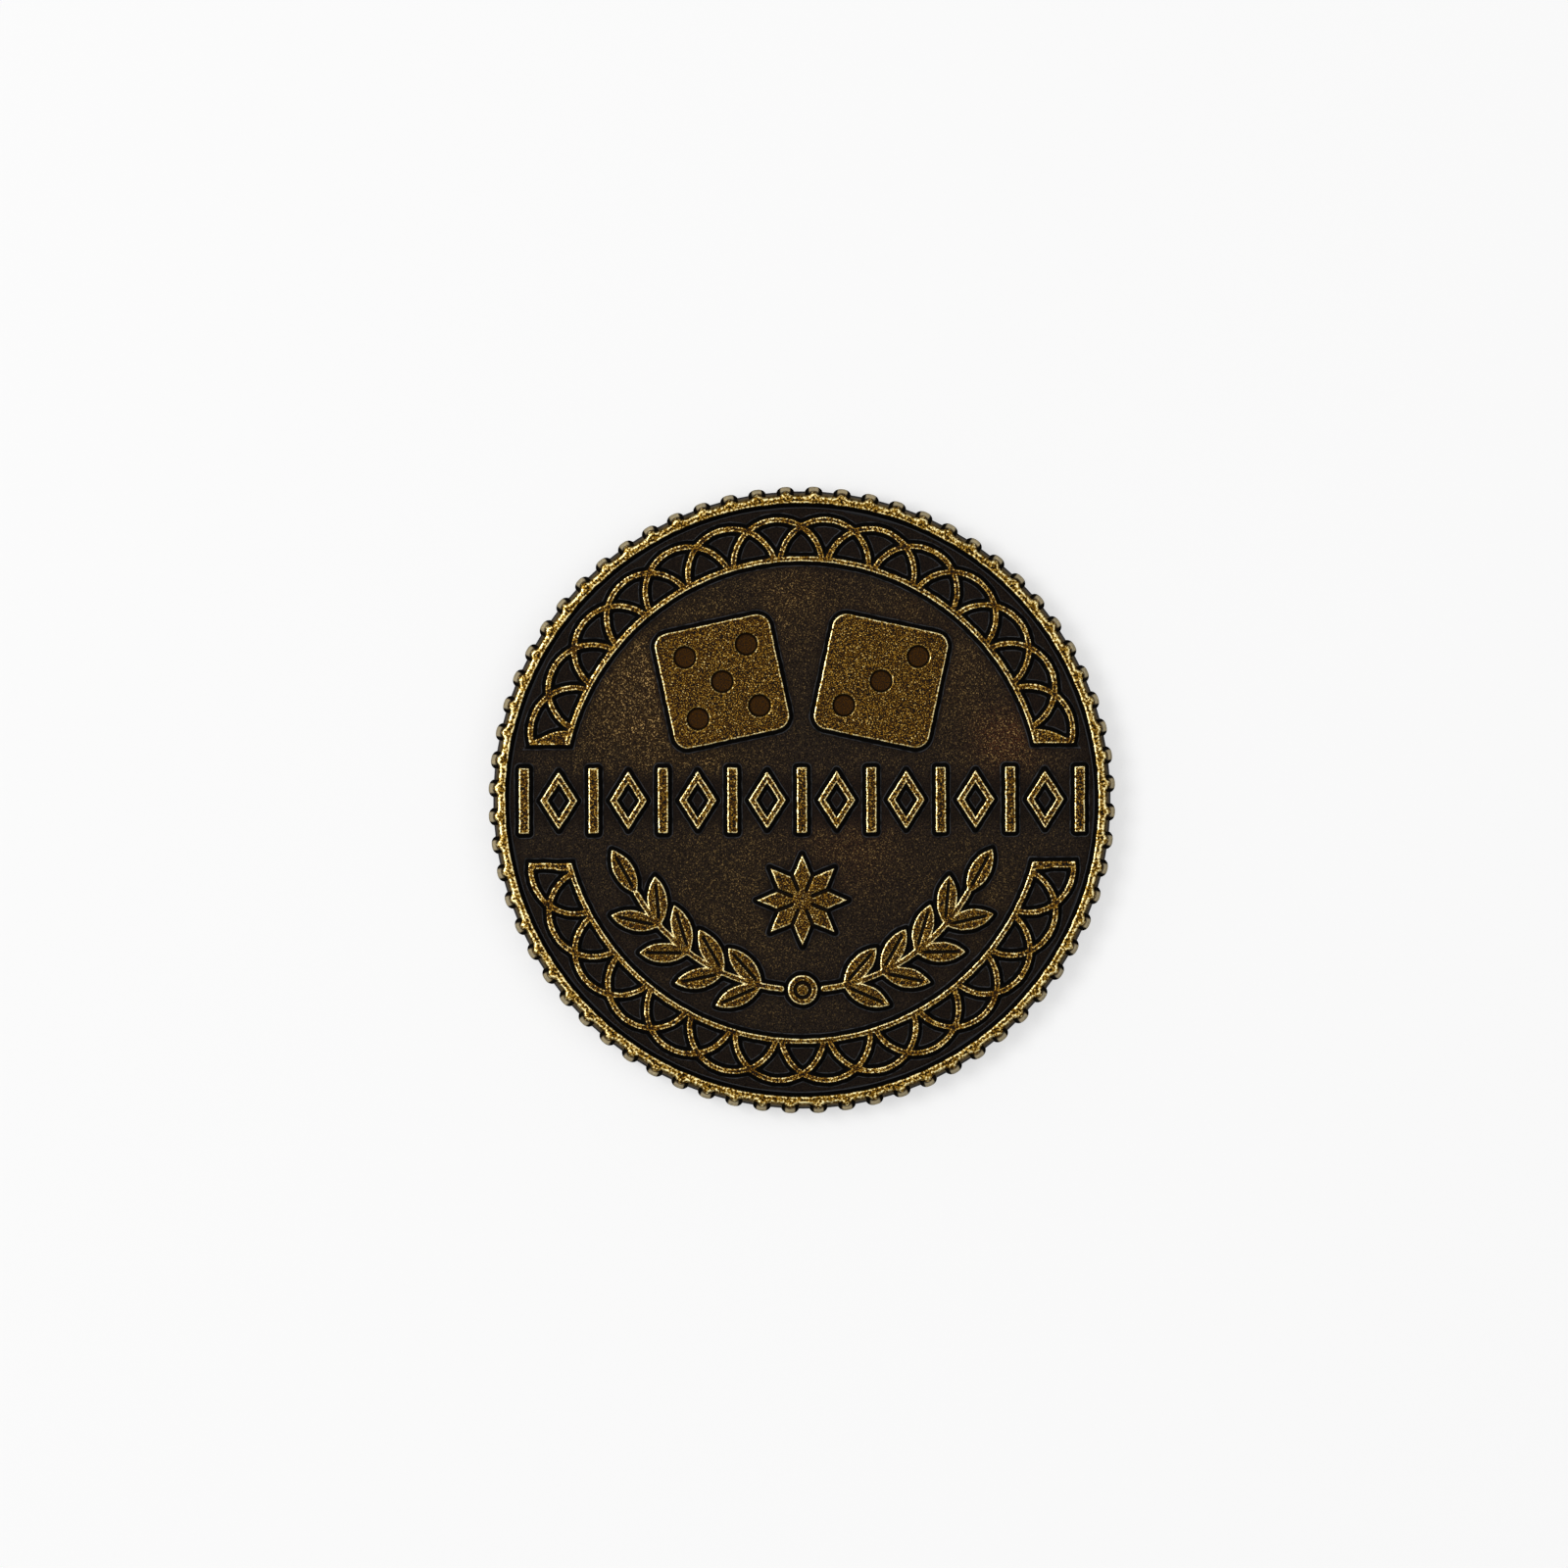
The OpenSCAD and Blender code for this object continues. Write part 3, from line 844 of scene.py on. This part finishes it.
class Nodes:
    """Short calls to make and join the nodes of one material."""

    def __init__(self, name):
        self.material = bpy.data.materials.new(name)
        self.material.use_nodes = True
        self.tree = self.material.node_tree
        self.inputs = self.tree.nodes["Principled BSDF"].inputs
        self.coords = self.tree.nodes.new("ShaderNodeTexCoord").outputs["Object"]

    def put(self, socket, value):
        """Joins a node's output to a socket, or sets a constant on it."""
        if isinstance(value, bpy.types.NodeSocket):
            self.tree.links.new(value, socket)
        else:
            socket.default_value = value

    def attribute(self, name):
        node = self.tree.nodes.new("ShaderNodeAttribute")
        node.attribute_name = name
        return node.outputs["Fac"]

    def noise(self, size, detail, roughness=0.6, offset=0.0):
        """Noise with features about size millimetres wide."""
        node = self.tree.nodes.new("ShaderNodeTexNoise")
        place = self.tree.nodes.new("ShaderNodeVectorMath")
        place.inputs[1].default_value = (offset * MM, offset * MM, offset * MM)
        self.tree.links.new(self.coords, place.inputs[0])
        self.tree.links.new(place.outputs[0], node.inputs["Vector"])
        node.inputs["Scale"].default_value = 1 / (size * MM)
        node.inputs["Detail"].default_value = detail
        node.inputs["Roughness"].default_value = roughness
        return node.outputs["Fac"]

    def scratches(self, size, stretch, angles):
        """The strongest of several noises, each drawn out along its own direction in the face."""
        best = None
        for angle in angles:
            place = self.tree.nodes.new("ShaderNodeMapping")
            place.vector_type = "TEXTURE"
            place.inputs["Rotation"].default_value = (0, 0, math.radians(angle))
            place.inputs["Scale"].default_value = (1, stretch, 1)
            self.tree.links.new(self.coords, place.inputs["Vector"])
            node = self.tree.nodes.new("ShaderNodeTexNoise")
            self.tree.links.new(place.outputs["Vector"], node.inputs["Vector"])
            node.inputs["Scale"].default_value = 1 / (size * MM)
            node.inputs["Detail"].default_value = 2
            fac = node.outputs["Fac"]
            best = fac if best is None else self.largest(best, fac)
        return best

    def math(self, operation, a, b):
        node = self.tree.nodes.new("ShaderNodeMath")
        node.operation = operation
        self.put(node.inputs[0], a)
        self.put(node.inputs[1], b)
        return node.outputs[0]

    def times(self, a, b):
        return self.math("MULTIPLY", a, b)

    def largest(self, a, b):
        return self.math("MAXIMUM", a, b)

    def total(self, first, *terms):
        """First value plus each (value, factor) term."""
        result = first
        for value, factor in terms:
            result = self.math("ADD", self.times(value, factor), result)
        return result

    def span(self, value, low, high, to_low=0.0, to_high=1.0):
        """Value mapped from low..high to to_low..to_high and clamped: smoothly, or in a straight line where
        low is above high."""
        node = self.tree.nodes.new("ShaderNodeMapRange")
        node.interpolation_type = "SMOOTHSTEP" if low < high else "LINEAR"
        self.put(node.inputs["Value"], value)
        for key, number in zip(("From Min", "From Max", "To Min", "To Max"), (low, high, to_low, to_high)):
            node.inputs[key].default_value = number
        return node.outputs["Result"]

    def mix(self, factor, a, b):
        """Colour between a and b."""
        node = self.tree.nodes.new("ShaderNodeMix")
        node.data_type = "RGBA"
        self.put(node.inputs["Factor"], factor)
        self.put(node.inputs["A"], a if isinstance(a, bpy.types.NodeSocket) else (*a, 1))
        self.put(node.inputs["B"], b if isinstance(b, bpy.types.NodeSocket) else (*b, 1))
        return node.outputs["Result"]

    def ramp(self, value, stops):
        """Colour at a value between stops of (place, colour)."""
        node = self.tree.nodes.new("ShaderNodeValToRGB")
        marks = node.color_ramp.elements
        while len(marks) < len(stops):
            marks.new(0.5)
        for mark, (place, colour) in zip(marks, stops):
            mark.position = place
            mark.color = (*colour, 1)
        self.put(node.inputs["Fac"], value)
        return node.outputs["Color"]

    def bump(self, height, distance, strength):
        node = self.tree.nodes.new("ShaderNodeBump")
        node.inputs["Distance"].default_value = distance * MM
        node.inputs["Strength"].default_value = strength
        self.put(node.inputs["Height"], height)
        self.put(self.inputs["Normal"], node.outputs["Normal"])


# Colours in linear light: the bronze from black patina to metal that is rubbed bright, the stains on it, a
# painted highlight grey for the feet of walls and a painted reflection grey for the gaps between the reeds
RELIEF_BRONZE = [
    (0.0, (0.0045, 0.004, 0.0036)),
    (0.12, (0.015, 0.0076, 0.0034)),
    (0.25, (0.042, 0.0165, 0.0022)),
    (0.38, (0.085, 0.0335, 0.0032)),
    (0.55, (0.205, 0.103, 0.0105)),
    (0.75, (0.435, 0.276, 0.044)),
    (1.0, (0.93, 0.83, 0.46)),
]
RIM_BRONZE = [
    (0.0, (0.0045, 0.004, 0.0036)),
    (0.12, (0.011, 0.008, 0.005)),
    (0.25, (0.034, 0.016, 0.003)),
    (0.38, (0.08, 0.034, 0.0025)),
    (0.55, (0.2, 0.1, 0.009)),
    (0.75, (0.435, 0.268, 0.04)),
    (1.0, (0.93, 0.81, 0.43)),
]
# Painted highlight: the grey of a fillet catching the light at the foot of a wall
FOOT_HIGHLIGHT_GREY = (0.06, 0.06, 0.064)
CAP_GREY = (0.66, 0.56, 0.35)
VALLEY_BROWN = (0.135, 0.095, 0.04)
# Painted reflection: the grey of the bright floor mirrored in the steep gaps between the reeds
VALLEY_REFLECTION_GREY = (0.066, 0.064, 0.067)
FIELD_DEEP = (0.0062, 0.0039, 0.003)
FIELD_DARK = (0.0175, 0.0131, 0.011)
FIELD_BROWN = (0.042, 0.0225, 0.0058)
FIELD_RUST = (0.075, 0.026, 0.01)
FIELD_FLECK = (0.78, 0.49, 0.17)

# Pits of the grain, as depth and strength of the bump
GRAIN_DEPTH = 0.012
GRAIN_STRENGTH = 0.5


def bronze(n, level, grain, stops, shine=1.0, specular=0.04):
    """Colour of a patina that is rubbed through to a level from 0 to 1. Sets its gloss and grain too: where
    it is rubbed through, it is as metallic as shine says."""
    n.put(n.inputs["Metallic"], n.times(n.span(level, 0.1, 0.3), shine))
    n.put(n.inputs["Roughness"], n.span(level, 0.2, 0.9, 0.5, 0.34))
    n.put(n.inputs["Specular IOR Level"], specular)
    n.bump(grain, GRAIN_DEPTH, GRAIN_STRENGTH)
    return n.ramp(level, stops)


def worn_bronze():
    """Relief: black walls, mottled brown flats, lines rubbed to gold and bright edges, and a painted grey
    highlight along the feet of the walls.
    """
    n = Nodes("worn_bronze")
    grain = n.noise(0.075, 1, 0.5)
    speck = n.noise(0.15, 2, 0.6, 5.0)
    patch = n.noise(0.45, 2, 0.5, 7.0)
    cloud = n.noise(2.2, 2, 0.5, 9.0)
    line = n.span(n.scratches(0.07, 7.0, (35, 100, 155)), 0.62, 0.72)
    rub = n.attribute("rub")
    inward = n.attribute("inward")
    cut = n.attribute("cut")

    # Wear: most on edges, more on thin lines than on broad ones, uneven by the noises
    edge = n.times(n.span(inward, 0.0, 0.04), n.span(inward, 0.12, 0.06))
    edge = n.largest(edge, n.attribute("carved"))
    edge = n.times(edge, n.span(cut, 0.23, 0.0, 0.35, 1.0))
    thin = n.span(rub, 0.67, 0.87)
    speck = n.times(n.math("SUBTRACT", speck, 0.5), n.span(rub, 0.1, 0.6, 0.15, 2.4))
    fine = n.times(n.math("SUBTRACT", grain, 0.5), n.span(rub, 0.1, 0.6, 2.6, 1.6))
    scratch = n.times(line, n.span(rub, 0.4, 0.1))
    rubbed = n.total(0.06, (rub, 0.02), (thin, 0.08), (edge, 0.72))
    raised = n.total(rubbed, (fine, 1.0), (speck, 1.0), (scratch, 0.25), (patch, 0.2), (cloud, 0.06))

    # Walls and cuts keep their patina, apart from the floors of the pips
    exposed = n.times(n.span(inward, -0.02, 0.03), n.span(cut, 0.4, 0.15))
    sunk = n.times(n.span(cut, 0.5, 1.0), n.span(grain, 0.3, 0.7, 0.1, 0.3))
    level = n.largest(n.times(raised, exposed), sunk)
    # Painted highlight: a grey line along the foot of each wall, where the fillet would catch the light,
    # broken up by the patches
    foot = n.times(n.span(inward, -0.34, -0.29), n.span(inward, -0.23, -0.28))
    foot = n.times(foot, n.span(patch, 0.35, 0.6, 0.25, 1.0))
    colour = bronze(n, level, grain, RELIEF_BRONZE)
    n.put(n.inputs["Base Color"], n.mix(foot, colour, FOOT_HIGHLIGHT_GREY))
    return n.material


def rim_bronze():
    """Rims and reeds: gold rims with edges painted brighter left and right, greyer caps, brown between the
    reeds turning to a painted grey reflection down the gaps, a painted highlight along the ring's foot, and
    black walls.
    """
    n = Nodes("rim_bronze")
    grain = n.noise(0.15, 2, 0.6)
    patch = n.noise(0.5, 2, 0.5, 3.0)
    cap = n.attribute("cap")
    valley = n.attribute("valley")
    rubbed = n.total(-1.59, (n.attribute("edge"), 0.57), (n.attribute("lug"), -0.08))
    raised = n.total(rubbed, (grain, 3.0), (patch, 0.9))
    exposed = n.largest(n.span(n.attribute("top"), 0.9, 0.98), cap)
    level = n.times(raised, exposed)
    shine = n.span(cap, 0.3, 1.0, 1.0, 0.2)
    colour = bronze(n, level, grain, RIM_BRONZE, shine, specular=0.0)
    colour = n.mix(n.span(cap, 0.2, 1.0, 0.0, 0.65), colour, CAP_GREY)
    # Between the reeds: brown on the rim's round, turning to a painted grey reflection of the floor down the
    # steep gap, uneven by the patches
    gap_brown_and_reflection = n.mix(n.span(valley, 0.4, 0.85), VALLEY_BROWN, VALLEY_REFLECTION_GREY)
    gap_tint_share = n.times(n.span(valley, 0.2, 0.5), n.span(patch, 0.3, 0.6, 0.6, 1.0))
    colour = n.mix(gap_tint_share, colour, gap_brown_and_reflection)
    # Painted highlight: a grey line along the ring's foot
    n.put(n.inputs["Base Color"], n.mix(n.attribute("foot"), colour, FOOT_HIGHLIGHT_GREY))
    return n.material


def field_bronze():
    """Fields: dark patina, brown or rusty where it is scuffed, with fine golden flecks there."""
    n = Nodes("field_bronze")
    grain = n.noise(0.08, 1, 0.5)
    cloud = n.span(n.noise(2.5, 3, 0.6, 5.0), 0.35, 0.65, 0.65, 1.2)
    line = n.span(n.scratches(0.06, 2.5, (20, 80, 140)), 0.63, 0.73)
    clear = n.attribute("open")
    scuff = n.times(n.times(n.attribute("scuff"), cloud), clear)
    scuffed = n.total(0.12, (scuff, 0.8))
    pitted = n.times(n.span(clear, 0.0, 1.0, 0.3, 1.0), n.span(grain, 0.42, 0.6, 0.0, 1.35))
    haze = n.times(scuffed, n.span(grain, 0.5, 0.63, 0.3, 2.0))
    fleck = n.times(n.times(scuffed, clear), line)
    brown = n.mix(n.attribute("rust"), FIELD_BROWN, FIELD_RUST)
    colour = n.mix(haze, n.mix(pitted, FIELD_DEEP, FIELD_DARK), brown)
    n.put(n.inputs["Base Color"], n.mix(fleck, colour, FIELD_FLECK))
    n.put(n.inputs["Metallic"], fleck)
    n.put(n.inputs["Roughness"], 0.5)
    n.put(n.inputs["Specular IOR Level"], 0.03)
    n.bump(grain, GRAIN_DEPTH, GRAIN_STRENGTH)
    return n.material


# Floor, light and camera

FLOOR_GREY = (0.5, 0.5, 0.5, 1)
FLOOR_LIFT = 0.565
FLOOR_SIZE = 2.0
WHITE = (1, 1, 1, 1)
WORLD_STRENGTH = 0.22


def floor_material():
    """Pale floor that stays near white to the camera and in reflections, and keeps the token's shadow."""
    n = Nodes("floor")
    n.put(n.inputs["Base Color"], FLOOR_GREY)
    n.put(n.inputs["Roughness"], 0.9)
    n.put(n.inputs["Specular IOR Level"], 0.0)
    path = n.tree.nodes.new("ShaderNodeLightPath")
    seen = n.largest(path.outputs["Is Camera Ray"], path.outputs["Is Glossy Ray"])
    seen = n.largest(seen, path.outputs["Is Transmission Ray"])
    n.put(n.inputs["Emission Color"], WHITE)
    n.put(n.inputs["Emission Strength"], n.times(seen, FLOOR_LIFT))
    return n.material


def make_floor():
    mesh = bpy.data.meshes.new("floor")
    half = FLOOR_SIZE / 2
    corners = [(-half, -half, 0), (half, -half, 0), (half, half, 0), (-half, half, 0)]
    mesh.from_pydata(corners, [], [(0, 1, 2, 3)])
    mesh.materials.append(floor_material())
    floor = bpy.data.objects.new("floor", mesh)
    bpy.context.scene.collection.objects.link(floor)


def softbox(name, place, width, depth, power):
    """Area light at a place in metres, turned to the token."""
    light = bpy.data.lights.new(name, "AREA")
    light.shape = "RECTANGLE"
    light.size = width
    light.size_y = depth
    light.energy = power
    obj = bpy.data.objects.new(name, light)
    obj.location = place
    direction = -obj.location
    obj.rotation_euler = direction.to_track_quat("-Z", "Y").to_euler()
    bpy.context.scene.collection.objects.link(obj)


def make_light():
    world = bpy.data.worlds.new("studio")
    world.use_nodes = True
    background = world.node_tree.nodes["Background"]
    background.inputs["Color"].default_value = WHITE
    background.inputs["Strength"].default_value = WORLD_STRENGTH
    bpy.context.scene.world = world
    softbox("overhead", place=(0, 0.1, 1.0), width=1.8, depth=0.9, power=4.8)
    softbox("key", place=(-0.42, 0.12, 0.82), width=0.35, depth=0.35, power=2.7)


# The photograph's frame at the token, whose middle lies right of and below its own
FRAME_W = 99.85
TOKEN_RIGHT = 1.138
TOKEN_DOWN = 1.0245
CAMERA_Z = 600.0
SENSOR_W = 36.0
ROLL = math.radians(-0.2)


def make_camera():
    data = bpy.data.cameras.new("camera")
    data.sensor_width = SENSOR_W
    data.lens = SENSOR_W * (CAMERA_Z - TOKEN_T) / FRAME_W
    camera = bpy.data.objects.new("camera", data)
    camera.location = (-TOKEN_RIGHT * MM, TOKEN_DOWN * MM, CAMERA_Z * MM)
    camera.rotation_euler = (0, 0, ROLL)
    bpy.context.scene.collection.objects.link(camera)
    bpy.context.scene.camera = camera


# Seeds of the reliefs: a start for each face, and a step from one piece to the next
FRONT_SEED = 100
BACK_SEED = 600
SEED_STEP = 10


def make_token():
    relief_material = worn_bronze()
    blank_edge(rim_bronze())
    blank_field(field_bronze())
    for face, back, first_seed in ((FRONT, False, FRONT_SEED), (BACK, True, BACK_SEED)):
        for i, (node, (distance, carving)) in enumerate(sorted(face.items())):
            relief_piece(node, distance, carving, back, first_seed + SEED_STEP * i, relief_material)


make_token()
make_floor()
make_light()
make_camera()
bpy.context.scene.view_settings.view_transform = "Standard"
